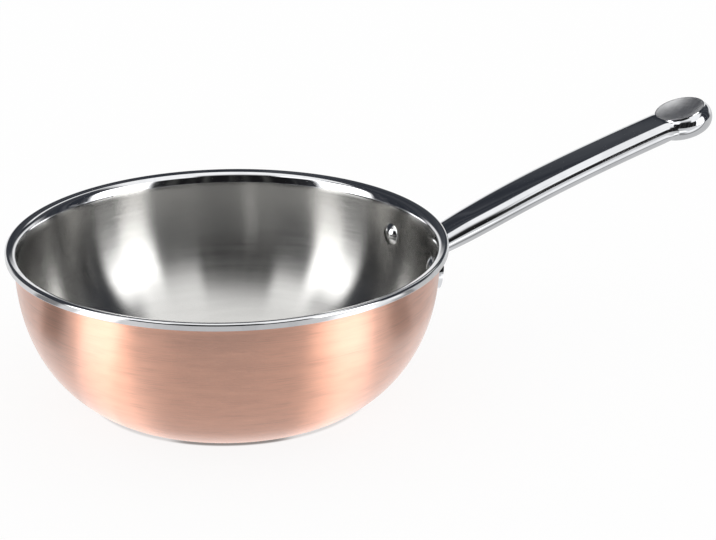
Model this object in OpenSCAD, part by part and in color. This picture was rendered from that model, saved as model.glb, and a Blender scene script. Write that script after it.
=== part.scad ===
// Saucier pan: a bonded copper, aluminium and steel bowl with a pouring lip,
// and a cast steel stick handle held by two rivets.
// Frame: origin at the centre of the underside, +Z up, the handle runs along +X.

/* [Bowl] */
// Outside diameter over the pouring lip
rim_d = 245; // [220:1:270]
// Height from the underside to the top of the lip
pan_h = 88; // [80:1:100]
// Diameter of the flat underside
base_d = 150; // [130:1:165]
// Outside radius of the corner round the underside
base_corner_r = 6; // [4.5:0.5:10]
// Slope of the wall where it leaves that corner, in degrees
base_rise = 28; // [20:1:35]
// How far the wall follows that slope before it turns up
low_reach = 9.3; // [7:0.1:16]
// How far the upper wall stays close to upright
high_reach = 54; // [45:1:60]

/* [Bonded layers] */
// Thickness of the copper skin
copper_t = 0.8; // [0.6:0.1:1.2]
// Thickness of the aluminium core
core_t = 1.2; // [1:0.1:2]
// Thickness of the steel lining
lining_t = 0.6; // [0.5:0.1:1]

/* [Pouring lip] */
// Radius inside the bowl where the flare begins
ease_r = 14; // [11:0.5:18]
// Turn at which the flare tightens, in degrees from upright
ease_turn = 25; // [18:1:34]
// Radius inside the bowl where the flare is tight
lip_r = 4; // [3.8:0.1:6]
// How far the flare turns outward from upright, in degrees
lip_turn = 72; // [60:1:80]
// Length of the straight part of the lip past the flare
lip_flat = 1.9; // [1:0.1:3]
// Turn at which the skin and the core stop and the lip is steel all through
skin_turn = 52; // [35:1:54]
// Height of the outer face of the lip
lip_face_h = 4.4; // [3.4:0.2:5]
// Radius that rounds the top of that face
lip_top_r = 1.6; // [1:0.1:2]
// Radius that rounds its lower edge
lip_edge_r = 0.9; // [0.4:0.1:1.1]

/* [Rivets] */
// How far below the top of the lip the rivets pass the wall
rivet_drop = 22.5; // [21:0.5:25]
// Angle from the handle to each rivet, round the bowl
rivet_angle = 14.5; // [13:0.5:18]
// Diameter of the round head inside the bowl
head_d = 13; // [11:0.5:15]
// Height of that head
head_h = 3.2; // [2:0.1:4]
// Diameter of the shank
shank_d = 6.4; // [5:0.2:8]
// Gap between the shank and its holes
rivet_gap = 0.05; // [0.05:0.05:0.2]
// Diameter of the closed end on the outside
button_d = 10; // [9:0.5:12]
// Height of the closed end
button_h = 1.4; // [0.8:0.1:2]

/* [Mounting flange] */
// Thickness of the flange
flange_t = 3; // [2:0.1:4]
// Radius of the round pad behind each rivet
pad_r = 11; // [9:0.5:12]
// Half height of the flange behind the handle
root_half_h = 11; // [10:0.5:12.5]
// Half height of the narrow waist between the handle and a pad
waist_half_h = 9; // [7.5:0.5:10]

/* [Handle] */
// How far below the top of the lip the handle's centre line meets the wall
root_drop = 23; // [21:0.5:24]
// Slope of the handle where it leaves the wall, in degrees
root_slope = 20.5; // [15:0.5:24]
// How far the handle keeps that slope
root_reach = 60; // [40:1:90]
// Slope of the handle at the knob, in degrees
tip_slope = 16; // [12:0.5:20]
// How far before the knob the handle takes up that slope
tip_reach = 110; // [40:1:120]
// Width of the handle at the wall
root_w = 22.5; // [18:0.5:25]
// Width of the grip at its widest
grip_w = 27; // [24:0.5:29]
// Width of the neck before the knob
neck_w = 25.5; // [22:0.5:27]
// Distance from the wall to the widest part of the grip
grip_at = 50; // [40:1:75]
// Depth of the handle at the wall
root_depth = 12; // [11:0.5:15]
// Depth of the grip
grip_depth = 14.6; // [13:0.1:15.5]
// Distance from the wall to where the handle reaches that depth
deep_at = 30; // [25:1:60]
// Radius of the fillet between the handle and its flange
root_fillet = 2.5; // [1:0.5:3]
// Radius of the fillet between the handle and the knob
neck_fillet = 12; // [6:1:16]

/* [Knob] */
// Distance from the edge of the lip to the centre of the dish
knob_reach = 158.3; // [138:0.1:178]
// Height of the centre of the dish above the top of the lip
knob_rise = 40.8; // [34:0.2:46]
// Backward tilt of the dish, in degrees
knob_tilt = 16; // [8:0.5:20]
// Outside diameter of the knob
knob_d = 35.6; // [34:0.2:40]
// Depth of the knob
knob_depth = 13.8; // [12:0.2:16]
// Roundness of the knob's side: how far in its top and bottom edges lie
knob_round = 5.5; // [4:0.5:8]
// Diameter of the dish
dish_d = 28.4; // [24:0.2:30]
// Depth of the dish
dish_depth = 3.2; // [2:0.2:4.4]
// Width of the lip round the dish
dish_lip_w = 0.7; // [0.4:0.1:1.2]

/* [Hidden] */
$fn = 96;

// The wall as stations along its outer face: radius, height and slope of the face.
wall_t = copper_t + core_t + lining_t;
base_r = base_d / 2;
rim_r = rim_d / 2;
end_slope = 90 - lip_turn;
flare_run = ease_r * (1 - cos(ease_turn)) + lip_r * (cos(ease_turn) - cos(lip_turn))
    + lip_flat * sin(lip_turn);
flare_rise = ease_r * sin(ease_turn) + lip_r * (sin(lip_turn) - sin(ease_turn))
    + lip_flat * cos(lip_turn);
wall_r = rim_r - lip_top_r * (1 + sin(end_slope)) - flare_run + wall_t;
lip_z = pan_h - lip_top_r * (1 - cos(end_slope)) - flare_rise;
corner_steps = 4;
wall_steps = 20;
lip_steps = 14;
skin_steps = 10;

corner_end = [base_r + base_corner_r * sin(base_rise), base_corner_r * (1 - cos(base_rise))];
wall_curve = [
    corner_end,
    corner_end + low_reach * [cos(base_rise), sin(base_rise)],
    [wall_r, lip_z - high_reach],
    [wall_r, lip_z],
];

function curve_at(p, t) =
    pow(1 - t, 3) * p[0] + 3 * pow(1 - t, 2) * t * p[1] + 3 * (1 - t) * t * t * p[2] + pow(t, 3) * p[3];
function curve_dir(p, t) =
    pow(1 - t, 2) * (p[1] - p[0]) + 2 * (1 - t) * t * (p[2] - p[1]) + t * t * (p[3] - p[2]);

corner_stations = [for (i = [0:corner_steps]) let (a = base_rise * i / corner_steps)
    [base_r + base_corner_r * sin(a), base_corner_r * (1 - cos(a)), a]];
wall_stations = [for (i = [1:wall_steps]) let (
    t = i / wall_steps,
    p = curve_at(wall_curve, t),
    d = curve_dir(wall_curve, t)
) [p[0], p[1], atan2(d[1], d[0])]];
// The flare up to a turn: an easy bend first, then a tight one.
ease_out_r = ease_r - wall_t;
lip_out_r = lip_r - wall_t;
function lip_station(b) = let (easy = min(b, ease_turn), tight = max(b, ease_turn)) [
    wall_r + ease_out_r * (1 - cos(easy)) + lip_out_r * (cos(ease_turn) - cos(tight)),
    lip_z + ease_out_r * sin(easy) + lip_out_r * (sin(tight) - sin(ease_turn)),
    90 - b
];
skin_stations = [for (i = [1:skin_steps]) lip_station(skin_turn * i / skin_steps)];
edge_stations = [for (i = [1:lip_steps - skin_steps])
    lip_station(skin_turn + (lip_turn - skin_turn) * i / (lip_steps - skin_steps))];
flare_end = lip_station(lip_turn);
edge_end = [
    flare_end[0] + lip_flat * sin(lip_turn),
    flare_end[1] + lip_flat * cos(lip_turn),
    end_slope
];
clad_stations = concat(corner_stations, wall_stations, skin_stations);
all_stations = concat(clad_stations, edge_stations, [edge_end]);

// A point at a depth below the outer face; a negative depth lies outside the bowl.
function at_depth(s, depth) = [s[0] - depth * sin(s[2]), s[1] + depth * cos(s[2])];
function face(stations, depth) = [for (s = stations) at_depth(s, depth)];
function reversed(list) = [for (i = [len(list) - 1:-1:0]) list[i]];

// The outer face of the lip with its rounded edges, from the underside to the top.
edge_steps = 4;
top_steps = 6;
edge_round = concat(
    [for (i = [0:edge_steps]) let (a = 90 * i / edge_steps - 90)
        [rim_r - lip_edge_r * (1 - cos(a)), pan_h - lip_face_h + lip_edge_r * (1 + sin(a))]],
    [for (i = [0:top_steps - 1]) let (a = (90 + end_slope) * i / top_steps)
        [rim_r - lip_top_r * (1 - cos(a)), pan_h - lip_top_r * (1 - sin(a))]]
);

// Where the rivets sit on the wall.
rivet_z = pan_h - rivet_drop;
least_upright = 45;
upright_stations = [for (s = wall_stations) if (s[2] > least_upright) s];
rivet_r = lookup(rivet_z, [for (s = upright_stations) [s[1], s[0]]]);
rivet_slope = lookup(rivet_z, [for (s = upright_stations) [s[1], s[2]]]);
rivet_y = rivet_r * sin(rivet_angle);

module bonded_layer(from, to) {
    rotate_extrude()
        polygon(concat(
            [[0, from]],
            face(clad_stations, from),
            reversed(face(clad_stations, to)),
            [[0, to]]
        ));
}

module rivet_place(side) {
    rotate([0, 0, side * rivet_angle])
        translate([rivet_r, 0, rivet_z])
            rotate([0, 180 - rivet_slope, 0])
                children();
}

// Along a rivet's own axis +Z points out of the bowl.
module rivet_holes() {
    for (side = [-1, 1])
        rivet_place(side)
            translate([0, 0, -2 * wall_t])
                cylinder(d = shank_d + 2 * rivet_gap, h = 3 * wall_t + 2 * flange_t);
}

module copper_skin() {
    color([0.80, 0.50, 0.38])
        difference() {
            bonded_layer(0, copper_t);
            rivet_holes();
        }
}

module aluminium_core() {
    color([0.80, 0.81, 0.82])
        difference() {
            bonded_layer(copper_t, copper_t + core_t);
            rivet_holes();
        }
}

// The lining carries the whole lip, so the skin and the core stop under it.
module steel_lining() {
    inner_depth = copper_t + core_t;
    lip_start = [skin_stations[skin_steps - 1]];
    outline = concat(
        [[0, inner_depth]],
        face(clad_stations, inner_depth),
        face(lip_start, 0),
        edge_round,
        reversed(face(all_stations, wall_t)),
        [[0, wall_t]]
    );
    color([0.74, 0.75, 0.77])
        difference() {
            rotate_extrude() polygon(outline);
            rivet_holes();
        }
}

// The handle's centre line, from inside the flange into the middle of the knob.
function smooth(u) = let (v = min(1, max(0, u))) v * v * (3 - 2 * v);
function mix(a, b, u) = a + (b - a) * u;
root_z = pan_h - root_drop;
knob_x = rim_r + knob_reach;
knob_z = pan_h + knob_rise;
knob_mid = [knob_x, knob_z] + knob_depth / 2 * [sin(knob_tilt), -cos(knob_tilt)];
root_in = 4;
bar_start = [wall_r - root_in, root_z - root_in * tan(root_slope)];
bar_curve = [
    bar_start,
    bar_start + root_reach * [cos(root_slope), sin(root_slope)],
    knob_mid - tip_reach * [cos(tip_slope), sin(tip_slope)],
    knob_mid,
];
curve_steps = 60;
bar_line = [for (i = [0:curve_steps]) curve_at(bar_curve, i / curve_steps)];
bar_tilt = [for (i = [0:curve_steps]) let (d = curve_dir(bar_curve, i / curve_steps))
    [bar_line[i][0], atan2(d[1], d[0])]];
function bar_z(x) = lookup(x, bar_line);
function bar_slope(x) = lookup(x, bar_tilt);

// The fillet at the root swells the bar, and the one at the neck widens it.
flange_face = wall_r + flange_t;
function root_swell(x) = let (u = min(root_fillet, max(0, flange_face + root_fillet - x)))
    root_fillet - sqrt(root_fillet * root_fillet - u * u);
knob_r = knob_d / 2;
fillet_y = neck_w / 2 + neck_fillet;
fillet_x = knob_mid[0] - sqrt(pow(knob_r + neck_fillet, 2) - fillet_y * fillet_y);
fillet_end = mix(knob_mid[0], fillet_x, knob_r / (knob_r + neck_fillet));
function neck_swell(x) = let (u = max(0, min(x, fillet_end) - fillet_x))
    neck_fillet - sqrt(neck_fillet * neck_fillet - u * u);

grip_x = wall_r + grip_at;
function bar_half_w(x) = (x < grip_x
    ? mix(root_w, grip_w, smooth((x - wall_r) / grip_at))
    : mix(grip_w, neck_w, smooth((x - grip_x) / (fillet_x - grip_x)))) / 2 + root_swell(x) + neck_swell(x);
under_dish = 0.2;
core_half_depth = knob_depth / 2 - dish_depth - under_dish;
function bar_half_depth(x) = (x < fillet_x
    ? mix(root_depth, grip_depth, smooth((x - wall_r) / deep_at)) / 2
    : mix(grip_depth / 2, core_half_depth, smooth((x - fillet_x) / (knob_mid[0] - fillet_x))))
    + root_swell(x);

// A section of the bar: a flattened top with round edges, and an oval underside.
ring_points = 40;
top_squareness = 2.9;
under_squareness = 2.1;
function power(v, e) = sign(v) * pow(abs(v), e);
function bar_ring(x) = let (tall = bar_half_depth(x) / cos(bar_slope(x)))
    [for (i = [0:ring_points - 1]) let (
        a = 360 * (i + 0.5) / ring_points,
        e = 2 / (sin(a) > 0 ? top_squareness : under_squareness)
    ) [x, bar_half_w(x) * power(cos(a), e), bar_z(x) + tall * power(sin(a), e)]];

// Rings stand close together in the fillets and further apart along the grip.
root_rings = 5;
grip_rings = 36;
neck_rings = 12;
grip_start = flange_face + root_fillet;
ring_places = concat(
    [wall_r - root_in, flange_face],
    [for (i = [1:root_rings]) flange_face + root_fillet * (1 - cos(90 * i / root_rings))],
    [for (i = [1:grip_rings]) mix(grip_start, fillet_x, i / grip_rings)],
    [for (i = [1:neck_rings]) mix(fillet_x, knob_mid[0], i / neck_rings)]
);

module bar() {
    rings = [for (x = ring_places) bar_ring(x)];
    last = len(ring_places) - 1;
    count = ring_points;
    sides = [for (i = [0:last - 1], j = [0:count - 1]) let (
        k = (j + 1) % count,
        a = i * count,
        b = (i + 1) * count
    ) each [[a + j, b + j, b + k], [a + j, b + k, a + k]]];
    start_cap = [[for (j = [0:count - 1]) j]];
    end_cap = [[for (j = [count - 1:-1:0]) last * count + j]];
    polyhedron(points = [for (r = rings) each r], faces = concat(sides, start_cap, end_cap), convexity = 4);
}

// Half height of the flange at a distance to the side of the handle.
waist_at = 0.55;
function flange_half_h(y) = let (u = min(1, abs(y) / rivet_y))
    u < waist_at
        ? mix(root_half_h, waist_half_h, smooth(u / waist_at))
        : mix(waist_half_h, pad_r, smooth((u - waist_at) / (1 - waist_at)));

module flange_outline() {
    steps = 24;
    top = [for (i = [0:steps]) let (y = mix(-rivet_y, rivet_y, i / steps)) [y, flange_half_h(y)]];
    under = [for (i = [steps:-1:0]) let (y = mix(-rivet_y, rivet_y, i / steps)) [y, -flange_half_h(y)]];
    polygon(concat(top, under));
    for (side = [-1, 1])
        translate([side * rivet_y, 0])
            circle(r = pad_r);
}

// The flange hugs the wall, so its inner face is the skin's outer face.
module flange() {
    top = lip_z + ease_out_r * sin(ease_turn);
    hug = [for (s = all_stations) if (s[1] > rivet_z - 2 * pad_r && s[1] < top) s];
    intersection() {
        rotate_extrude() polygon(concat(face(hug, 0), reversed(face(hug, -flange_t))));
        translate([0, 0, rivet_z])
            rotate([90, 0, 90])
                linear_extrude(height = 2 * rim_r)
                    flange_outline();
    }
}

module knob_place() {
    translate([knob_x, 0, knob_z])
        rotate([0, -knob_tilt, 0])
            children();
}

// The knob before its dish is cut, from the middle of its top round to its underside.
module knob() {
    half = knob_depth / 2;
    top_r = dish_d / 2 + dish_lip_w;
    top_angle = acos((top_r - knob_r + knob_round) / knob_round);
    side_steps = 16;
    side = [for (i = [0:side_steps]) let (a = mix(top_angle, -90, i / side_steps))
        [knob_r - knob_round * (1 - cos(a)), half * (sin(a) - 1)]];
    knob_place()
        rotate_extrude()
            polygon(concat([[0, 0], [top_r - dish_lip_w / 2, 0]], side, [[0, -knob_depth]]));
}

// The dish is part of a ball, cut through the knob and through the bar's end inside it.
module dish() {
    dish_r = dish_d / 2;
    dish_ball = (dish_r * dish_r + dish_depth * dish_depth) / (2 * dish_depth);
    dish_steps = 8;
    arc = [for (i = [0:dish_steps]) let (q = dish_r * i / dish_steps)
        [q, dish_ball - dish_depth - sqrt(dish_ball * dish_ball - q * q)]];
    knob_place()
        rotate_extrude()
            polygon(concat(arc, [[dish_r, knob_depth], [0, knob_depth]]));
}

// The room inside a face of the bowl at a depth, closed across its mouth.
module bowl_room(depth) {
    rotate_extrude()
        polygon(concat([[0, depth]], face(all_stations, depth), [[0, at_depth(edge_end, depth)[1]]]));
}

module handle() {
    color([0.70, 0.71, 0.74])
        difference() {
            union() {
                flange();
                bar();
                knob();
            }
            dish();
            bowl_room(0);
            rivet_holes();
        }
}

// A low dome that stands on z = 0, with a foot below it.
module dome(d, h, foot) {
    ball = (d * d / 4 + h * h) / (2 * h);
    rotate_extrude()
        intersection() {
            translate([0, h - ball]) circle(r = ball);
            translate([0, -foot]) square([d / 2, h + foot]);
        }
}

// The head seats on the lining and the closed end on the flange.
module rivet(side) {
    foot = 0.4;
    color([0.78, 0.79, 0.81]) {
        intersection() {
            rivet_place(side)
                translate([0, 0, -wall_t])
                    mirror([0, 0, 1])
                        dome(head_d, head_h, foot);
            bowl_room(wall_t);
        }
        difference() {
            rivet_place(side)
                translate([0, 0, flange_t])
                    dome(button_d, button_h, foot);
            bowl_room(-flange_t);
        }
        rivet_place(side)
            translate([0, 0, -wall_t - head_h / 2])
                cylinder(d = shank_d, h = head_h / 2 + wall_t + flange_t + button_h / 2);
    }
}

copper_skin();
aluminium_core();
steel_lining();
handle();
rivet(-1);  // rivet_left
rivet(1);  // rivet_right
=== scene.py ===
import math

import bpy
from mathutils import Matrix, Vector


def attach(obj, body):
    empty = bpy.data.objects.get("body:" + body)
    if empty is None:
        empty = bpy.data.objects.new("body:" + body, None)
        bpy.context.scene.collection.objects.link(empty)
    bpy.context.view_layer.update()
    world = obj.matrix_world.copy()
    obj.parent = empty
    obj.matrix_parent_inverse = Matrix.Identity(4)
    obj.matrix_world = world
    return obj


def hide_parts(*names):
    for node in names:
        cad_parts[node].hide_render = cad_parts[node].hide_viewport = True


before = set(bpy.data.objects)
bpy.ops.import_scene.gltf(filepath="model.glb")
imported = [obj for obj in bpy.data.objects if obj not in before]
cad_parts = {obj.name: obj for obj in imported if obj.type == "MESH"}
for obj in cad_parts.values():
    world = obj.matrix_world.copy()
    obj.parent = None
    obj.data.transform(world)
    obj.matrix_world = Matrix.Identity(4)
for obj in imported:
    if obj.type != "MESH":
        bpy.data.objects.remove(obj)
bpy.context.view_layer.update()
print("frame loaded")

mm = 0.001
weld = 0.002 * mm


# Small helpers round the mesh operators.
def deselectAll():
    if bpy.context.mode != "OBJECT":
        bpy.ops.object.mode_set(mode="OBJECT")
    bpy.ops.object.select_all(action="DESELECT")


def pick(piece):
    deselectAll()
    piece.select_set(True)
    bpy.context.view_layer.objects.active = piece


def named(name):
    piece = bpy.context.object
    piece.name = name
    piece.data.name = name
    return piece


def applyPlace(piece):
    pick(piece)
    bpy.ops.object.transform_apply(location=True, rotation=True, scale=True)


def smoothPiece(piece, degrees):
    pick(piece)
    bpy.ops.object.shade_smooth_by_angle(angle=math.radians(degrees))


# A profile in the plane y = 0, drawn point by point from a plane merged to one corner.
def drawOutline(name, points):
    deselectAll()
    bpy.ops.mesh.primitive_plane_add(size=mm)
    piece = named(name)
    bpy.ops.object.mode_set(mode="EDIT")
    bpy.ops.mesh.select_all(action="SELECT")
    bpy.ops.mesh.merge(type="CENTER")
    bpy.ops.transform.translate(value=(points[0][0], 0, points[0][1]))
    for a, b in zip(points, points[1:]):
        step = (b[0] - a[0], 0, b[1] - a[1])
        bpy.ops.mesh.extrude_vertices_move(TRANSFORM_OT_translate={"value": step})
    return piece


def spinOutline(name, points, steps, smoothAngle=35):
    piece = drawOutline(name, points)
    bpy.ops.mesh.select_all(action="SELECT")
    bpy.ops.mesh.spin(steps=steps, angle=math.tau, center=(0, 0, 0), axis=(0, 0, 1))
    bpy.ops.mesh.select_all(action="SELECT")
    bpy.ops.mesh.remove_doubles(threshold=weld)
    bpy.ops.mesh.normals_make_consistent(inside=False)
    bpy.ops.object.mode_set(mode="OBJECT")
    smoothPiece(piece, smoothAngle)
    return piece


def cutOrJoin(piece, other, operation):
    pick(piece)
    modifier = piece.modifiers.new("Join", "BOOLEAN")
    modifier.operation = operation
    modifier.solver = "EXACT"
    modifier.object = other
    bpy.ops.object.modifier_apply(modifier="Join")
    bpy.data.objects.remove(other)


def mix(a, b, u):
    return a + (b - a) * u


def smooth(u):
    v = min(1, max(0, u))
    return v * v * (3 - 2 * v)


# The bowl's wall, as stations along its outer face: radius, height and slope.
bowl = {
    "rimWidth": 244.9 * mm,
    "height": 87.95 * mm,
    "baseWidth": 150 * mm,
    "cornerRadius": 6 * mm,
    "baseRise": math.radians(28),  # slope where the corner ends and the side begins
    "lowReach": 9.3 * mm,  # how far the side keeps its slope at the foot
    "highReach": 54 * mm,  # and at the top
    "copper": 0.8 * mm,
    "core": 1.2 * mm,
    "lining": 0.6 * mm,
    "easeRadius": 14 * mm,  # the flare's easy bend
    "easeTurn": math.radians(25),
    "lipRadius": 4 * mm,  # and its tight bend
    "lipTurn": math.radians(72),
    "lipFlat": 1.9 * mm,
    "skinTurn": math.radians(52),  # the copper ends here
    "lipFace": 4.4 * mm,  # height of the lip's outer face
    "lipTop": 1.6 * mm,
    "lipEdge": 0.9 * mm,
    "lipDress": 0.5,  # the lip's polish starts at this share of the easy bend's height
    "cornerSteps": 6,
    "wallSteps": 44,
    "lipSteps": 20,
    "turns": 192,
}
wallThick = bowl["copper"] + bowl["core"] + bowl["lining"]
coreFace = bowl["copper"] + bowl["core"]
easeOut = bowl["easeRadius"] - wallThick
lipOut = bowl["lipRadius"] - wallThick
easeTurn, lipTurn = bowl["easeTurn"], bowl["lipTurn"]
rimRadius = bowl["rimWidth"] / 2
flareRun = (
    bowl["easeRadius"] * (1 - math.cos(easeTurn))
    + bowl["lipRadius"] * (math.cos(easeTurn) - math.cos(lipTurn))
    + bowl["lipFlat"] * math.sin(lipTurn)
)
flareRise = (
    bowl["easeRadius"] * math.sin(easeTurn)
    + bowl["lipRadius"] * (math.sin(lipTurn) - math.sin(easeTurn))
    + bowl["lipFlat"] * math.cos(lipTurn)
)
wallRadius = rimRadius - bowl["lipTop"] * (1 + math.cos(lipTurn)) - flareRun + wallThick
lipHeight = bowl["height"] - bowl["lipTop"] * (1 - math.sin(lipTurn)) - flareRise


def curveAt(p, t):
    s = 1 - t
    weights = (s**3, 3 * s * s * t, 3 * s * t * t, t**3)
    return tuple(sum(w * q[k] for w, q in zip(weights, p)) for k in (0, 1))


def curveSlope(p, t):
    s = 1 - t
    weights = (s * s, 2 * s * t, t * t)
    d = [
        sum(w * (b[k] - a[k]) for w, a, b in zip(weights, p, p[1:])) for k in (0, 1)
    ]
    return math.atan2(d[1], d[0])


def bowlStations():
    flat = bowl["baseWidth"] / 2
    corner, rise = bowl["cornerRadius"], bowl["baseRise"]
    stations = []
    for i in range(bowl["cornerSteps"] + 1):
        a = rise * i / bowl["cornerSteps"]
        stations.append((flat + corner * math.sin(a), corner * (1 - math.cos(a)), a))
    start = stations[-1][:2]
    reach = bowl["lowReach"]
    curve = [
        start,
        (start[0] + reach * math.cos(rise), start[1] + reach * math.sin(rise)),
        (wallRadius, lipHeight - bowl["highReach"]),
        (wallRadius, lipHeight),
    ]
    for i in range(1, bowl["wallSteps"] + 1):
        t = i / bowl["wallSteps"]
        stations.append((*curveAt(curve, t), curveSlope(curve, t)))
    return stations


# The flare bends easily at first and then tightly.
def lipStations(start, end, steps):
    stations = []
    for i in range(1, steps + 1):
        a = mix(start, end, i / steps)
        easy, tight = min(a, easeTurn), max(a, easeTurn)
        r = wallRadius + easeOut * (1 - math.cos(easy))
        r += lipOut * (math.cos(easeTurn) - math.cos(tight))
        z = lipHeight + easeOut * math.sin(easy)
        z += lipOut * (math.sin(tight) - math.sin(easeTurn))
        stations.append((r, z, math.pi / 2 - a))
    return stations


# The same stations at a depth below the outer face.
def faceAt(stations, depth):
    return [(r - depth * math.sin(a), z + depth * math.cos(a)) for r, z, a in stations]


wallFace = bowlStations()
cladFace = wallFace + lipStations(0, bowl["skinTurn"], bowl["lipSteps"])
edgeFace = lipStations(bowl["skinTurn"], lipTurn, bowl["lipSteps"] // 2)
flat = bowl["lipFlat"]
edgeFace.append((
    edgeFace[-1][0] + flat * math.sin(lipTurn),
    edgeFace[-1][1] + flat * math.cos(lipTurn),
    edgeFace[-1][2],
))
fullFace = cladFace + edgeFace


# The outer face of the lip with its rounded edges, from the underside to the top.
def lipRound():
    points = []
    edge, low, steps = bowl["lipEdge"], bowl["height"] - bowl["lipFace"], 8
    for i in range(steps + 1):
        a = math.pi / 2 * (i / steps - 1)
        points.append((rimRadius - edge * (1 - math.cos(a)), low + edge * (1 + math.sin(a))))
    edge, top, steps = bowl["lipTop"], bowl["height"], 12
    for i in range(steps):
        a = (math.pi - lipTurn) * i / steps
        points.append((rimRadius - edge * (1 - math.cos(a)), top - edge * (1 - math.sin(a))))
    return points


def makeCopperSkin():
    t = bowl["copper"]
    outline = [(0, 0)] + faceAt(cladFace, 0) + faceAt(cladFace, t)[::-1] + [(0, t)]
    piece = spinOutline("copperSkin", outline, bowl["turns"])
    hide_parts("copper_skin")
    return piece


def makeSteelLining():
    outline = (
        [(0, coreFace)]
        + faceAt(cladFace, coreFace)
        + faceAt([cladFace[-1]], 0)
        + lipRound()
        + faceAt(fullFace, wallThick)[::-1]
        + [(0, wallThick)]
    )
    piece = spinOutline("steelLining", outline, bowl["turns"])
    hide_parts("steel_lining")
    return piece


copperSkin = makeCopperSkin()
steelLining = makeSteelLining()
print("bowl spun")

# The rivets pass the wall at this depth below the rim and this angle from the handle.
rivet = {
    "drop": 22.5 * mm,
    "angle": math.radians(14.5),
    "headWidth": 12.9 * mm,
    "headHeight": 3.15 * mm,
    "headEdge": 0.5 * mm,
    "shank": 6.4 * mm,
    "endWidth": 9.9 * mm,
    "endHeight": 1.35 * mm,
    "endEdge": 0.3 * mm,
    "sink": 0.4 * mm,  # head and end go this deep into wall and flange
    "turns": 64,
}
flange = {
    "thick": 3 * mm,
    "pad": 11 * mm,
    "rootHalf": 11 * mm,
    "waistHalf": 9 * mm,
    "waistAt": 0.55,
    "edge": 0.5 * mm,
    "barSink": 1.5 * mm,  # the bar ends this deep inside the flange
    "columns": 96,
    "rows": 20,
}


# The outer face's radius (item 0) or slope (item 2) at a height, where the wall is steep.
def atHeight(z, item):
    upright = [s for s in wallFace + lipStations(0, 0.6, 8) if s[2] > math.radians(45)]
    for a, b in zip(upright, upright[1:]):
        if a[1] <= z <= b[1]:
            return mix(a[item], b[item], (z - a[1]) / (b[1] - a[1]))
    return upright[-1][item]


rivetHeight = bowl["height"] - rivet["drop"]
rivetOut = atHeight(rivetHeight, 0)
rivetSlope = atHeight(rivetHeight, 2)
rivetSide = rivetOut * math.sin(rivet["angle"])


# Half of a low dome from its top out to its eased edge.
def domeArc(width, height, edge, steps):
    ball = (width * width / 4 + height * height) / (2 * height)
    points = []
    for i in range(steps + 1):
        a = mix(0, math.asin((width / 2 - edge) / ball), i / steps)
        points.append((ball * math.sin(a), height - ball + ball * math.cos(a)))
    foot = points[-1][1]
    turns = 4
    for i in range(1, turns + 1):
        b = math.pi / 2 * i / turns
        points.append((width / 2 - edge * (1 - math.sin(b)), foot - edge * (1 - math.cos(b))))
    return points


# Along the rivet's own axis +Z points out of the bowl, with z = 0 on the wall's outer face.
def makeRivet(name, node, side):
    head = domeArc(rivet["headWidth"], rivet["headHeight"], rivet["headEdge"], 14)
    end = domeArc(rivet["endWidth"], rivet["endHeight"], rivet["endEdge"], 8)
    shank = rivet["shank"] / 2
    foot = rivet["sink"]
    points = [(r, -wallThick - z) for r, z in head]
    points += [(head[-1][0], foot - wallThick), (shank, foot - wallThick)]
    points += [(shank, flange["thick"] - foot), (end[-1][0], flange["thick"] - foot)]
    points += [(r, flange["thick"] + z) for r, z in end[::-1]]
    piece = spinOutline(name, points, rivet["turns"])
    lean = Matrix.Rotation(math.pi - rivetSlope, 4, "Y")
    turn = Matrix.Rotation(side * rivet["angle"], 4, "Z")
    piece.matrix_world = turn @ Matrix.Translation((rivetOut, 0, rivetHeight)) @ lean
    applyPlace(piece)
    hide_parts(node)
    return piece


rivetLeft = makeRivet("rivetLeft", "rivet_left", -1)
rivetRight = makeRivet("rivetRight", "rivet_right", 1)
print("rivets set")

# The handle: a bar lofted ring by ring, a knob with a dish, and a flange that hugs the wall.
bar = {
    "rootDrop": 23 * mm,
    "rootSlope": math.radians(20.5),
    "rootReach": 60 * mm,
    "tipSlope": math.radians(16),
    "tipReach": 110 * mm,
    "rootWidth": 22.5 * mm,
    "gripWidth": 27 * mm,
    "neckWidth": 25.5 * mm,
    "gripAt": 50 * mm,
    "rootDepth": 12 * mm,
    "gripDepth": 14.6 * mm,
    "deepAt": 30 * mm,
    "rootFillet": 2.5 * mm,
    "neckFillet": 12 * mm,
    "rootIn": 4 * mm,  # the loft starts this far inside the wall
    "topSquareness": 2.9,
    "underSquareness": 2.1,
    "smoothAngle": 32,
    "corners": 72,
    "rootRings": 8,
    "gripRings": 64,
    "neckRings": 20,
}
knob = {
    "reach": 158.3 * mm,
    "rise": 40.8 * mm,
    "tilt": math.radians(16),
    "width": 35.5 * mm,
    "depth": 13.8 * mm,
    "round": 5.5 * mm,
    "dish": 28.4 * mm,
    "dishDepth": 3.2 * mm,
    "dishLip": 0.7 * mm,
    "tuck": 0.2 * mm,  # the bar stays this far under the dish
    "roundSteps": 32,
    "dishSteps": 24,
    "turns": 128,
}
rootHeight = bowl["height"] - bar["rootDrop"]
knobTop = (bowl["rimWidth"] / 2 + knob["reach"], bowl["height"] + knob["rise"])
knobMid = (
    knobTop[0] + knob["depth"] / 2 * math.sin(knob["tilt"]),
    knobTop[1] - knob["depth"] / 2 * math.cos(knob["tilt"]),
)
barStart = (wallRadius - bar["rootIn"], rootHeight - bar["rootIn"] * math.tan(bar["rootSlope"]))
barCurve = [
    barStart,
    (
        barStart[0] + bar["rootReach"] * math.cos(bar["rootSlope"]),
        barStart[1] + bar["rootReach"] * math.sin(bar["rootSlope"]),
    ),
    (
        knobMid[0] - bar["tipReach"] * math.cos(bar["tipSlope"]),
        knobMid[1] - bar["tipReach"] * math.sin(bar["tipSlope"]),
    ),
    knobMid,
]
barLine = [(*curveAt(barCurve, i / 240), curveSlope(barCurve, i / 240)) for i in range(241)]


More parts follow.
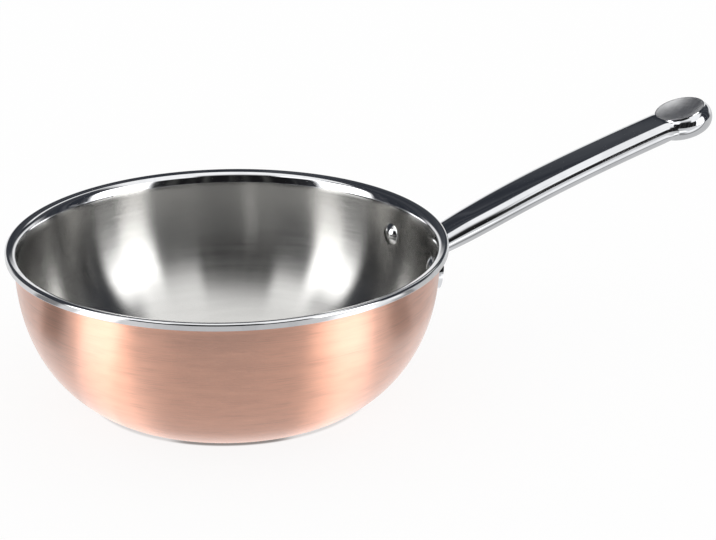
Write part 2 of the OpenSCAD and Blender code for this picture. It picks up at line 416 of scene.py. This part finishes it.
def barAt(x, item):
    for a, b in zip(barLine, barLine[1:]):
        if x <= b[0]:
            return mix(a[item], b[item], (x - a[0]) / (b[0] - a[0]))
    return barLine[-1][item]


flangeFace = wallRadius + flange["thick"]
gripX = wallRadius + bar["gripAt"]
knobRadius = knob["width"] / 2
filletY = bar["neckWidth"] / 2 + bar["neckFillet"]
filletX = knobMid[0] - math.sqrt((knobRadius + bar["neckFillet"]) ** 2 - filletY**2)
filletEnd = mix(knobMid[0], filletX, knobRadius / (knobRadius + bar["neckFillet"]))


# What the fillets add to the bar at its root and its neck.
def rootSwell(x):
    f = bar["rootFillet"]
    u = min(f, max(0, flangeFace + f - x))
    return f - math.sqrt(f * f - u * u)


def neckSwell(x):
    f = bar["neckFillet"]
    u = max(0, min(x, filletEnd) - filletX)
    return f - math.sqrt(f * f - u * u)


def barHalfWidth(x):
    if x < gripX:
        w = mix(bar["rootWidth"], bar["gripWidth"], smooth((x - wallRadius) / bar["gripAt"]))
    else:
        w = mix(bar["gripWidth"], bar["neckWidth"], smooth((x - gripX) / (filletX - gripX)))
    return w / 2 + rootSwell(x) + neckSwell(x)


def barHalfDepth(x):
    tuck = knob["depth"] / 2 - knob["dishDepth"] - knob["tuck"]
    if x < filletX:
        d = mix(bar["rootDepth"], bar["gripDepth"], smooth((x - wallRadius) / bar["deepAt"])) / 2
    else:
        d = mix(bar["gripDepth"] / 2, tuck, smooth((x - filletX) / (knobMid[0] - filletX)))
    return (d + rootSwell(x)) / math.cos(barAt(x, 2))


def ringPlaces():
    f, n = bar["rootFillet"], bar["rootRings"]
    places = [wallRadius - bar["rootIn"], flangeFace]
    places += [flangeFace + f * (1 - math.cos(math.pi / 2 * i / n)) for i in range(1, n + 1)]
    start, n = flangeFace + f, bar["gripRings"]
    places += [mix(start, filletX, i / n) for i in range(1, n + 1)]
    n = bar["neckRings"]
    return places + [mix(filletX, knobMid[0], i / n) for i in range(1, n + 1)]


def makeBar():
    places = ringPlaces()
    x = places[0]
    deselectAll()
    bpy.ops.mesh.primitive_circle_add(vertices=bar["corners"], radius=1)
    piece = named("bar")
    for i, v in enumerate(piece.data.vertices):
        a = math.tau * (i + 0.5) / bar["corners"]
        c, s = math.cos(a), math.sin(a)
        e = 2 / (bar["topSquareness"] if s > 0 else bar["underSquareness"])
        y = barHalfWidth(x) * math.copysign(abs(c) ** e, c)
        z = barAt(x, 1) + barHalfDepth(x) * math.copysign(abs(s) ** e, s)
        v.co = (x, y, z)
    bpy.ops.object.mode_set(mode="EDIT")
    bpy.ops.mesh.select_all(action="SELECT")
    bpy.ops.mesh.edge_face_add()
    for a, b in zip(places, places[1:]):
        step = (b - a, 0, barAt(b, 1) - barAt(a, 1))
        bpy.ops.mesh.extrude_region_move(TRANSFORM_OT_translate={"value": step})
        grow = (1, barHalfWidth(b) / barHalfWidth(a), barHalfDepth(b) / barHalfDepth(a))
        bpy.ops.transform.resize(value=grow, center_override=(b, 0, barAt(b, 1)))
    bpy.ops.mesh.select_all(action="SELECT")
    bpy.ops.mesh.normals_make_consistent(inside=False)
    bpy.ops.object.mode_set(mode="OBJECT")
    return piece


# A spun piece of the knob, tilted onto the handle's end.
def placeOnKnob(piece):
    tilt = Matrix.Rotation(-knob["tilt"], 4, "Y")
    piece.matrix_world = Matrix.Translation((knobTop[0], 0, knobTop[1])) @ tilt
    applyPlace(piece)
    return piece


def makeKnob():
    half, radius, r = knob["depth"] / 2, knobRadius, knob["round"]
    steps = knob["roundSteps"]
    topRadius = knob["dish"] / 2 + knob["dishLip"]
    points = [(0, 0), (topRadius - knob["dishLip"] / 2, 0)]
    top = math.acos((topRadius - radius + r) / r)
    for i in range(steps + 1):
        a = mix(top, -math.pi / 2, i / steps)
        points.append((radius - r * (1 - math.cos(a)), half * (math.sin(a) - 1)))
    points.append((0, -knob["depth"]))
    return placeOnKnob(spinOutline("knob", points, knob["turns"]))


def makeDish():
    dish, steps = knob["dish"] / 2, knob["dishSteps"]
    ball = (dish * dish + knob["dishDepth"] ** 2) / (2 * knob["dishDepth"])
    points = []
    for i in range(steps + 1):
        q = dish * i / steps
        points.append((q, ball - knob["dishDepth"] - math.sqrt(ball * ball - q * q)))
    points += [(dish, knob["depth"]), (0, knob["depth"])]
    return placeOnKnob(spinOutline("dish", points, knob["turns"]))


# Half the flange's height at a distance from the handle's middle plane.
def flangeHalf(y):
    u = abs(y) / rivetSide
    if u >= 1:
        over = min(flange["pad"], abs(y) - rivetSide)
        return math.sqrt(flange["pad"] ** 2 - over**2)
    if u < flange["waistAt"]:
        return mix(flange["rootHalf"], flange["waistHalf"], smooth(u / flange["waistAt"]))
    rest = smooth((u - flange["waistAt"]) / (1 - flange["waistAt"]))
    return mix(flange["waistHalf"], flange["pad"], rest)


# A grid laid on the wall's outer face, then thickened outward.
def makeFlange():
    n, m = flange["columns"], flange["rows"]
    deselectAll()
    bpy.ops.mesh.primitive_grid_add(x_subdivisions=n, y_subdivisions=m, size=2)
    piece = named("flange")
    reach = rivetSide + flange["pad"] * 0.9999
    for v in piece.data.vertices:
        y = reach * math.sin(v.co.x * math.pi / 2)
        z = rivetHeight + v.co.y * flangeHalf(y)
        v.co = (math.sqrt(atHeight(z, 0) ** 2 - y * y), y, z)
    pick(piece)
    bpy.ops.object.mode_set(mode="EDIT")
    bpy.ops.mesh.select_all(action="SELECT")
    bpy.ops.mesh.remove_doubles(threshold=0.02 * mm)
    bpy.ops.object.mode_set(mode="OBJECT")
    wall = piece.modifiers.new("Wall", "SOLIDIFY")
    wall.thickness = flange["thick"]
    wall.offset = 1
    bpy.ops.object.modifier_apply(modifier="Wall")
    edge = piece.modifiers.new("Edge", "BEVEL")
    edge.width = flange["edge"]
    edge.segments = 3
    edge.limit_method = "ANGLE"
    edge.angle_limit = math.radians(60)
    bpy.ops.object.modifier_apply(modifier="Edge")
    return piece


# The bar is cut clear of the bowl's inside, and takes the knob, its dish and the flange.
def makeHandle():
    piece = makeBar()
    above = 0.2
    outline = [(0, 0)] + faceAt(wallFace, -flange["barSink"]) + [(wallRadius, above), (0, above)]
    room = spinOutline("room", outline, 96)
    cutOrJoin(piece, room, "DIFFERENCE")
    cutOrJoin(piece, makeKnob(), "UNION")
    cutOrJoin(piece, makeDish(), "DIFFERENCE")
    cutOrJoin(piece, makeFlange(), "UNION")
    piece.name = piece.data.name = "castHandle"
    smoothPiece(piece, bar["smoothAngle"])
    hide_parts("handle")
    return piece


castHandle = makeHandle()
print("handle cast")

for piece in (copperSkin, steelLining, rivetLeft, rivetRight, castHandle):
    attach(piece, "root")


# Node trees are built with these.
def newMaterial(name):
    material = bpy.data.materials.new(name)
    material.use_nodes = True
    tree = material.node_tree
    return material, tree, tree.nodes["Principled BSDF"]


def newGroup(name, inputs, outputs):
    group = bpy.data.node_groups.new(name, "ShaderNodeTree")
    for label, value in inputs.items():
        kind = "NodeSocketFloat" if isinstance(value, (int, float)) else "NodeSocketVector"
        socket = group.interface.new_socket(label, in_out="INPUT", socket_type=kind)
        if kind == "NodeSocketFloat":
            socket.default_value = value
    for label in outputs:
        group.interface.new_socket(label, in_out="OUTPUT", socket_type="NodeSocketFloat")
    return group, group.nodes.new("NodeGroupInput"), group.nodes.new("NodeGroupOutput")


def feed(tree, socket, value):
    if isinstance(value, bpy.types.NodeSocket):
        tree.links.new(value, socket)
    else:
        socket.default_value = value


def addNode(tree, kind, values=None, **settings):
    node = tree.nodes.new(kind)
    for key, value in settings.items():
        setattr(node, key, value)
    for key, value in (values or {}).items():
        feed(tree, node.inputs[key], value)
    return node


def math2(tree, operation, a, b=0.0, c=None):
    node = addNode(tree, "ShaderNodeMath", {0: a, 1: b}, operation=operation)
    if c is not None:
        feed(tree, node.inputs[2], c)
    return node.outputs[0]


def times(tree, first, *others):
    product = first
    for other in others:
        product = math2(tree, "MULTIPLY", product, other)
    return product


def hypotenuse(tree, x, y):
    return math2(tree, "SQRT", math2(tree, "ADD", times(tree, x, x), times(tree, y, y)))


def ramp(tree, value, low, high, start=0.0, end=1.0, shape="SMOOTHSTEP"):
    keys = {"Value": value, "From Min": low, "From Max": high, "To Min": start, "To Max": end}
    return addNode(tree, "ShaderNodeMapRange", keys, interpolation_type=shape).outputs[0]


def blend(tree, factor, a, b):
    node = addNode(tree, "ShaderNodeMix", data_type="RGBA")
    feed(tree, node.inputs[0], factor)
    feed(tree, node.inputs[6], a)
    feed(tree, node.inputs[7], b)
    return node.outputs[2]


def placeGroup(tree, group, values):
    node = tree.nodes.new("ShaderNodeGroup")
    node.node_tree = group
    for key, value in values.items():
        feed(tree, node.inputs[key], value)
    return node


def objectPlace(tree, centre=(0, 0, 0), turn=(0, 0, 0)):
    coords = addNode(tree, "ShaderNodeTexCoord").outputs["Object"]
    moved = addNode(tree, "ShaderNodeVectorMath", {0: coords, 1: centre}, operation="SUBTRACT")
    keys = {"Vector": moved.outputs[0], "Rotation": turn}
    return addNode(tree, "ShaderNodeMapping", keys, vector_type="POINT").outputs[0]


# Lines that a spinning brush or polishing wheel leaves round the local Z axis.
def makeTurnedLines():
    inputs = {"Place": (0, 0, 0), "Per Metre": 900.0, "Round": 2.0}
    group, start, end = newGroup("turnedLines", inputs, ("Lines", "Bands"))
    x, y, z = addNode(group, "ShaderNodeSeparateXYZ", {0: start.outputs["Place"]}).outputs
    radius = hypotenuse(group, x, y)
    safe = math2(group, "MAXIMUM", radius, 1e-4)
    turnX, turnY = [
        times(group, math2(group, "DIVIDE", v, safe), start.outputs["Round"]) for v in (x, y)
    ]
    across = times(group, math2(group, "ADD", radius, z), start.outputs["Per Metre"])
    for label, share, detail, rough in (("Lines", 1, 3.0, 0.6), ("Bands", 0.12, 2.0, 0.5)):
        keys = {0: turnX, 1: turnY, 2: times(group, across, share)}
        place = addNode(group, "ShaderNodeCombineXYZ", keys).outputs[0]
        keys = {"Vector": place, "Scale": 1.0, "Detail": detail, "Roughness": rough}
        noise = addNode(group, "ShaderNodeTexNoise", keys).outputs[0]
        feed(group, end.inputs[label], ramp(group, noise, 0.3, 0.7, shape="LINEAR"))
    return group


# Traces of use: faint cloudy smears and hairline scratches.
def makeHandling():
    inputs = {"Place": (0, 0, 0), "Smear Size": 40.0, "Scratch Size": 500.0}
    group, start, end = newGroup("handling", inputs, ("Smear", "Scratch"))
    place = start.outputs["Place"]
    keys = {"Vector": place, "Scale": start.outputs["Smear Size"], "Detail": 4.0}
    keys.update({"Roughness": 0.6, "Distortion": 0.4})
    cloud = addNode(group, "ShaderNodeTexNoise", keys).outputs[0]
    feed(group, end.inputs["Smear"], ramp(group, cloud, 0.4, 0.72))
    keys = {0: place, 1: (0.25, 1, 1)}
    squeeze = addNode(group, "ShaderNodeVectorMath", keys, operation="MULTIPLY").outputs[0]
    keys = {"Vector": squeeze, "Scale": start.outputs["Scratch Size"], "Detail": 2.0}
    hair = addNode(group, "ShaderNodeTexNoise", keys).outputs[0]
    feed(group, end.inputs["Scratch"], ramp(group, hair, 0.35, 0.65))
    return group


# A mask that is 1 between two values and fades out past them.
def makeSoftWindow():
    inputs = {"Value": 0.0, "Low": 0.0, "High": 1.0, "Soft": 0.1}
    group, start, end = newGroup("softWindow", inputs, ("Mask",))
    value, low, high, soft = [start.outputs[k] for k in inputs]
    sides = []
    for edge, levels in ((low, (0, 1)), (high, (1, 0))):
        near, far = math2(group, "SUBTRACT", edge, soft), math2(group, "ADD", edge, soft)
        sides.append(ramp(group, value, near, far, *levels))
    feed(group, end.inputs["Mask"], times(group, *sides))
    return group


turnedLines = makeTurnedLines()
handling = makeHandling()
softWindow = makeSoftWindow()

# Brushed round the bowl, under a colourless sheen that whitens its highlights.
copperLook = {
    "pale": (1.0, 0.48, 0.307, 1),
    "deep": (0.76, 0.35, 0.222, 1),
    "roughness": 0.385,
    "unevenness": 0.05,
    "anisotropy": 1.0,
    "linesPerMetre": 1400.0,
    "lineHeight": 0.003 * mm,
    "lineTone": 1.0,
    "round": 5.0,
    "sheen": 1.0,
    "sheenRoughness": 0.22,
    "sheenIndex": 2.25,
}
liningLook = {
    "pale": (0.60, 0.595, 0.58, 1),
    "deep": (0.56, 0.555, 0.54, 1),
    "roughness": 0.20,
    "unevenness": 0.015,
    "anisotropy": 1.0,
    "linesPerMetre": 1100.0,
    "lineHeight": 0.00008 * mm,
}
dishLook = {
    "pale": (0.76, 0.76, 0.77, 1),
    "deep": (0.58, 0.58, 0.59, 1),
    "roughness": 0.38,
    "unevenness": 0.05,
    "linesPerMetre": 1100.0,
    "lineHeight": 0.004 * mm,
}
coreLook = {
    "pale": (0.66, 0.67, 0.68, 1),
    "deep": (0.56, 0.57, 0.58, 1),
    "roughness": 0.42,
    "unevenness": 0.06,
    "anisotropy": 0.6,
    "linesPerMetre": 700.0,
    "lineHeight": 0.002 * mm,
}
polishLook = {
    "castColour": (0.70, 0.71, 0.73, 1),
    "lipColour": (0.72, 0.725, 0.74, 1),
    "rivetColour": (0.70, 0.70, 0.70, 1),
    "dullColour": (0.60, 0.61, 0.63, 1),
    "roughness": 0.05,
    "smear": 0.05,
    "scratch": 0.02,
    "castWave": 0.01 * mm,
    "smallWave": 0.002 * mm,
}


def setMetal(shader, anisotropy=0.0):
    shader.inputs["Metallic"].default_value = 1
    shader.inputs["Anisotropic"].default_value = anisotropy
    shader.inputs["Anisotropic Rotation"].default_value = 0.25 if anisotropy else 0


def setRelief(tree, shader, height, strength, distance):
    keys = {"Height": height, "Strength": strength, "Distance": distance}
    feed(tree, shader.inputs["Normal"], addNode(tree, "ShaderNodeBump", keys).outputs[0])


# Metal finished on a spinning wheel: fine lines round the axis vary tone, gloss and relief.
def makeTurnedMetal(name, look, centre=(0, 0, 0), turn=(0, 0, 0)):
    material, tree, shader = newMaterial(name)
    setMetal(shader, look.get("anisotropy", 0.0))
    shader.inputs["Coat Weight"].default_value = look.get("sheen", 0)
    shader.inputs["Coat Roughness"].default_value = look.get("sheenRoughness", 0.1)
    shader.inputs["Coat IOR"].default_value = look.get("sheenIndex", 1.5)
    place = objectPlace(tree, centre, turn)
    keys = {"Place": place, "Per Metre": look["linesPerMetre"], "Round": look.get("round", 2.0)}
    marks = placeGroup(tree, turnedLines, keys)
    lines = marks.outputs["Lines"]
    smear = placeGroup(tree, handling, {"Place": place}).outputs["Smear"]
    tone = blend(tree, marks.outputs["Bands"], look["deep"], look["pale"])
    finer = ramp(tree, lines, 0, 1, 0.0, look.get("lineTone", 0.5))
    feed(tree, shader.inputs["Base Color"], blend(tree, finer, tone, look["pale"]))
    middle, spread = look["roughness"], look["unevenness"]
    gloss = ramp(tree, lines, 0, 1, middle - spread, middle + spread)
    gloss = math2(tree, "MULTIPLY_ADD", smear, 0.5 * spread, gloss)
    feed(tree, shader.inputs["Roughness"], gloss)
    setRelief(tree, shader, lines, 0.6, look["lineHeight"])
    return material


# Metal polished to a mirror, with faint smears, hairlines and the slow waves of hand polishing.
def makePolishedMetal(name, colour, smearSize, wave):
    material, tree, shader = newMaterial(name)
    setMetal(shader)
    place = objectPlace(tree)
    used = placeGroup(tree, handling, {"Place": place, "Smear Size": smearSize})
    smear, scratch = used.outputs
    dull = ramp(tree, smear, 0, 1, 0.0, 0.5)
    feed(tree, shader.inputs["Base Color"], blend(tree, dull, colour, polishLook["dullColour"]))
    clean = polishLook["roughness"]
    gloss = ramp(tree, smear, 0, 1, clean, clean + polishLook["smear"])
    gloss = math2(tree, "MULTIPLY_ADD", scratch, polishLook["scratch"], gloss)
    feed(tree, shader.inputs["Roughness"], gloss)
    slow = addNode(tree, "ShaderNodeTexNoise", {"Vector": place, "Scale": 60.0, "Detail": 1.0})
    setRelief(tree, shader, slow.outputs[0], 0.5, wave)
    return material


def dressPiece(piece, *materials):
    piece.data.materials.clear()
    for material in materials:
        piece.data.materials.append(material)


# Faces that a test picks take the piece's second material.
def dressFaces(piece, test):
    for face in piece.data.polygons:
        face.material_index = 1 if test(face) else 0


# Distance from the dish's axis and height over its rim, for a point on the handle.
def knobPlace(point):
    t = knob["tilt"]
    x, z = point.x - knobTop[0], point.z - knobTop[1]
    out = math.hypot(x * math.cos(t) + z * math.sin(t), point.y)
    return out, z * math.cos(t) - x * math.sin(t)


def isDish(face):
    r, z = knobPlace(face.center)
    lean = Vector((-math.sin(knob["tilt"]), 0, math.cos(knob["tilt"])))
    inside = r < knob["dish"] / 2 and z > -knob["dishDepth"] * 1.05
    return inside and face.normal.dot(lean) > 0.5


def isLip(face):
    return face.center.z > lipHeight + bowl["lipDress"] * easeOut * math.sin(easeTurn)


brushedCopper = makeTurnedMetal("brushedCopper", copperLook)
liningSteel = makeTurnedMetal("liningSteel", liningLook)
dishSteel = makeTurnedMetal(
    "dishSteel", dishLook, (knobTop[0], 0, knobTop[1]), (0, knob["tilt"], 0)
)
coreMetal = makeTurnedMetal("coreMetal", coreLook)
castWave, smallWave = polishLook["castWave"], polishLook["smallWave"]
lipSteel = makePolishedMetal("lipSteel", polishLook["lipColour"], 60.0, smallWave)
castSteel = makePolishedMetal("castSteel", polishLook["castColour"], 35.0, castWave)
rivetSteel = makePolishedMetal("rivetSteel", polishLook["rivetColour"], 120.0, smallWave)

dressPiece(copperSkin, brushedCopper)
dressPiece(steelLining, liningSteel, lipSteel)
dressFaces(steelLining, isLip)
dressPiece(castHandle, castSteel, dishSteel)
dressFaces(castHandle, isDish)
dressPiece(rivetLeft, rivetSteel)
dressPiece(rivetRight, rivetSteel)
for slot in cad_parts["aluminium_core"].material_slots:
    slot.material = coreMetal
print("finishes made")

# The photograph's view: a long lens from the cook's left, a little above.
camera = {
    "place": (-0.4902, -1.3842, 0.63619),
    "right": (0.9245, -0.3812, -0.0042),
    "up": (0.1408, 0.3314, 0.9329),
    "lens": 142.51,
}


def makeCamera():
    data = bpy.data.cameras.new("camera")
    holder = bpy.data.objects.new("camera", data)
    bpy.context.scene.collection.objects.link(holder)
    right = Vector(camera["right"]).normalized()
    up = Vector(camera["up"])
    up = (up - right * up.dot(right)).normalized()
    rows = Matrix((right, up, right.cross(up))).transposed().to_4x4()
    holder.matrix_world = Matrix.Translation(camera["place"]) @ rows
    data.lens = camera["lens"]
    data.sensor_width = 36
    data.clip_start, data.clip_end = 0.05, 50
    bpy.context.scene.camera = holder


makeCamera()
print("camera placed")


def angles(*degrees):
    return tuple(math.radians(degree) for degree in degrees)


# The studio: a white table, a panel overhead, a soft box on each side and a dark room behind.
# A zone holds its azimuths, then any heights, then its brightness. Azimuths are from +X, and from
# -X for leftGlow, cornerGlow and leftBox. Distances are from the bowl's axis.
studio = {
    "tableSize": 8,
    "shadow": 0.12,  # share of the table's white that takes the pan's shadow
    # The next two entries set the shade painted on the table round the base.
    "paintedContactShade": (0.0795, 0.3, 0.78),  # reach, then depth of shade elsewhere and in front
    "paintedShadeFront": angles(-132, -87),
    # From here to glintGlow: light and shade painted on the table, which only metal sees.
    "nearGlow": 1.0,
    "ring": (0.17, 0.42, 0.84),  # from, to, brightness
    "farGlow": 0.9,
    "tableGlow": 0.66,
    "tableFront": angles(-140, -76),
    "shadeFrom": (0.15, 0.2),
    "besideGlow": (*angles(-35, -18), 0.34),
    "behindGlow": (*angles(-18, 44), 0.68),
    "cornerGlow": (*angles(-25, -8), 0.28),
    "baseGlow": (0.086, 1.0),  # under the pan, out to this distance
    "boxGlow": (0.12, 0.21, 0.25),  # between these the boxes' light grows from this share
    "leftGlow": (*angles(3, 23), 1.8),
    "rightGlow": (*angles(-69, -48), 1.85),
    "rightLean": (0.56, 0.16),  # radians a metre, none at this distance
    "rightReach": 0.36,
    "glintGlow": (*angles(-43, -26), 1.25),
    "glintFrom": 0.30,
    "boxSoft": math.radians(4),
    "boxHeight": angles(-8, 36),
    "leftBox": (*angles(-16, 16), 3.7),
    "rightBox": (*angles(-65, -30), 3.7),
    "leftShoulder": (*angles(-179, -143, 37), 1.6),
    "rightShoulder": (*angles(-90, -64, 34), 1.35),
    "shoulderTop": math.radians(56),
    "farCard": (*angles(14, 112, 13), 1.0),
    "strip": (*angles(34, 48, 28), 1.2),
    "panelAcross": (-0.8, 0.62),  # the panel's edges at unit height
    "panelSkew": 0.25,
    "panelFar": 0.38,
    "panelNear": -0.85,
    "panelSlant": 0.68,
    "panelGlow": 1.25,
    "room": (0.036, 0.040, 0.050, 1),
    "roomPale": (0.095, 0.100, 0.110, 1),
    "front": (0.012, 0.012, 0.013, 1),
    "frontPale": (0.06, 0.06, 0.057, 1),
    "roomFront": angles(-160, -60, 20),  # from, to, and how softly it fades
    "streaks": 9.0,
}


def window(tree, value, low, high, soft):
    keys = {"Value": value, "Low": low, "High": high, "Soft": soft}
    return placeGroup(tree, softWindow, keys).outputs[0]


def grey(level):
    return (level, level, level, 1)


# Azimuths of a direction or place, from +X and from -X.
def azimuths(tree, x, y):
    minusX, minusY = times(tree, x, -1), times(tree, y, -1)
    return math2(tree, "ARCTAN2", y, x), math2(tree, "ARCTAN2", minusY, minusX)


def rayKinds(tree):
    path = addNode(tree, "ShaderNodeLightPath").outputs
    mirror = math2(tree, "MAXIMUM", path["Is Glossy Ray"], path["Is Transmission Ray"])
    return path["Is Camera Ray"], mirror


# What metal sees of the table, painted on it as zones of light and shade: the boxes' light on it,
# and the shade beside and behind the pan.
def makePaintedTableGlow(tree, away, fromRight, fromLeft):
    soft = studio["boxSoft"]
    ringIn, ringOut, ringGlow = studio["ring"]
    near = window(tree, away, -1, ringIn, 0.03)
    glow = blend(tree, near, grey(ringGlow), grey(studio["nearGlow"]))
    far = ramp(tree, away, ringOut - 0.08, ringOut + 0.2)
    glow = blend(tree, far, glow, grey(studio["farGlow"]))
    front = window(tree, fromRight, *studio["tableFront"], 3 * soft)
    glow = blend(tree, front, glow, grey(studio["tableGlow"]))
    beyond = ramp(tree, away, *studio["shadeFrom"])
    for key, azimuth in (
        ("besideGlow", fromRight), ("behindGlow", fromRight), ("cornerGlow", fromLeft)
    ):
        low, high, level = studio[key]
        shade = times(tree, window(tree, azimuth, low, high, 0.7 * soft), beyond)
        glow = blend(tree, shade, glow, grey(level))
    reach, level = studio["baseGlow"]
    base = ramp(tree, away, reach - 0.005, reach + 0.005, 1, 0)
    glow = blend(tree, base, glow, grey(level))
    start, full, least = studio["boxGlow"]
    wedge = ramp(tree, away, start, full, least, 1)
    low, high, level = studio["leftGlow"]
    left = times(tree, window(tree, fromLeft, low, high, 0.6 * soft), wedge)
    glow = blend(tree, left, glow, grey(level))
    lean, pivot = studio["rightLean"]
    leaning = math2(tree, "MULTIPLY_ADD", away, -lean, fromRight)
    leaning = math2(tree, "ADD", leaning, lean * pivot)
    low, high, level = studio["rightGlow"]
    right = window(tree, leaning, low, high, 1.6 * soft)
    right = times(tree, right, window(tree, away, -1, studio["rightReach"], 0.04), wedge)
    glow = blend(tree, right, glow, grey(level))
    low, high, level = studio["glintGlow"]
    glint = window(tree, fromRight, low, high, 0.7 * soft)
    glint = times(tree, glint, window(tree, away, studio["glintFrom"], 2, 0.04))
    return blend(tree, glint, glow, grey(level))


# A thin shade painted on the table where the base meets it, deeper in front.
def makePaintedContactShade(tree, away, fromRight):
    edge, faint, deep = studio["paintedContactShade"]
    near = window(tree, fromRight, *studio["paintedShadeFront"], 2 * studio["boxSoft"])
    depth = ramp(tree, near, 0, 1, faint, deep)
    under = ramp(tree, away, edge - 0.001, edge + 0.0015, 1, 0)
    return math2(tree, "SUBTRACT", 1, times(tree, depth, under))


# The table is white to the camera but for the pan's shadow, partly real and partly the painted
# contact shade; metal sees the painted zones of light and shade instead.
def makeTable():
    deselectAll()
    bpy.ops.mesh.primitive_plane_add(size=studio["tableSize"])
    table = named("table")
    bpy.ops.object.mode_set(mode="EDIT")
    bpy.ops.mesh.subdivide(number_cuts=3)
    bpy.ops.object.mode_set(mode="OBJECT")
    material, tree, shader = newMaterial("tablePaper")
    shader.inputs["Base Color"].default_value = grey(0.95)
    shader.inputs["Roughness"].default_value = 0.9
    shader.inputs["Specular IOR Level"].default_value = 0
    x, y = addNode(tree, "ShaderNodeSeparateXYZ", {0: objectPlace(tree)}).outputs[:2]
    fromRight, fromLeft = azimuths(tree, x, y)
    away = hypotenuse(tree, x, y)
    glow = makePaintedTableGlow(tree, away, fromRight, fromLeft)
    toCamera, toMetal = rayKinds(tree)
    colour = blend(tree, toCamera, glow, makePaintedContactShade(tree, away, fromRight))
    paintedTableLight = addNode(tree, "ShaderNodeEmission", {"Color": colour}).outputs[0]
    share = math2(tree, "MAXIMUM", times(tree, toCamera, 1 - studio["shadow"]), toMetal)
    both = addNode(tree, "ShaderNodeMixShader", {0: share, 1: shader.outputs[0], 2: paintedTableLight})
    tree.links.new(both.outputs[0], tree.nodes["Material Output"].inputs[0])
    dressPiece(table, material)


# The dark room, with upright streaks as walls and furniture leave in polished metal.
def makeRoom(tree, direction, fromRight):
    keys = {0: direction, 1: (1, 1, 0)}
    heading = addNode(tree, "ShaderNodeVectorMath", keys, operation="MULTIPLY").outputs[0]
    heading = addNode(tree, "ShaderNodeVectorMath", {0: heading}, operation="NORMALIZE")
    keys = {"Vector": heading.outputs[0], "Scale": studio["streaks"], "Detail": 3.0}
    uneven = ramp(tree, addNode(tree, "ShaderNodeTexNoise", keys).outputs[0], 0.42, 0.68)
    room = blend(tree, uneven, studio["room"], studio["roomPale"])
    dark = blend(tree, uneven, studio["front"], studio["frontPale"])
    return blend(tree, window(tree, fromRight, *studio["roomFront"]), room, dark)


# The panel overhead is a skewed strip, laid out on a level at unit height.
def makePanel(tree, x, y, z):
    up = math2(tree, "MAXIMUM", z, 0.05)
    across, along = math2(tree, "DIVIDE", x, up), math2(tree, "DIVIDE", y, up)
    skewed = math2(tree, "MULTIPLY_ADD", along, studio["panelSkew"], across)
    slanted = math2(tree, "MULTIPLY_ADD", across, studio["panelSlant"], along)
    sides = window(tree, skewed, *studio["panelAcross"], 0.12)
    far = window(tree, along, -9, studio["panelFar"], 0.05)
    near = window(tree, slanted, studio["panelNear"], 9, 0.45)
    return times(tree, sides, far, near)


def makeWorld():
    world = bpy.data.worlds.new("studio")
    bpy.context.scene.world = world
    world.use_nodes = True
    world.cycles.sampling_method = "NONE"
    tree = world.node_tree
    direction = addNode(tree, "ShaderNodeTexCoord").outputs["Generated"]
    x, y, z = addNode(tree, "ShaderNodeSeparateXYZ", {0: direction}).outputs
    rise = math2(tree, "ARCSINE", z)
    fromRight, fromLeft = azimuths(tree, x, y)
    soft = studio["boxSoft"]
    colour = makeRoom(tree, direction, fromRight)
    low, high, top, level = studio["farCard"]
    card = times(
        tree, window(tree, fromRight, low, high, 2 * soft), window(tree, rise, -1, top, soft)
    )
    colour = blend(tree, card, colour, grey(level))
    low, high, foot, level = studio["strip"]
    strip = times(
        tree, window(tree, fromRight, low, high, 0.7 * soft), window(tree, rise, foot, 1.2, soft)
    )
    colour = blend(tree, strip, colour, grey(level))
    for key in ("leftShoulder", "rightShoulder"):
        low, high, foot, level = studio[key]
        tall = window(tree, rise, foot, studio["shoulderTop"], 0.6 * soft)
        shoulder = times(tree, window(tree, fromRight, low, high, soft), tall)
        colour = blend(tree, shoulder, colour, grey(level))
    tall = window(tree, rise, *studio["boxHeight"], 2 * soft)
    for key, azimuth in (("leftBox", fromLeft), ("rightBox", fromRight)):
        low, high, level = studio[key]
        box = times(tree, window(tree, azimuth, low, high, soft), tall)
        colour = blend(tree, box, colour, grey(level))
    colour = blend(tree, makePanel(tree, x, y, z), colour, grey(studio["panelGlow"]))
    toMetal = rayKinds(tree)[1]
    colour = blend(tree, toMetal, grey(1), colour)
    tree.links.new(colour, tree.nodes["Background"].inputs["Color"])


makeTable()
makeWorld()
bpy.context.scene.view_settings.view_transform = "Standard"
print("studio lit")
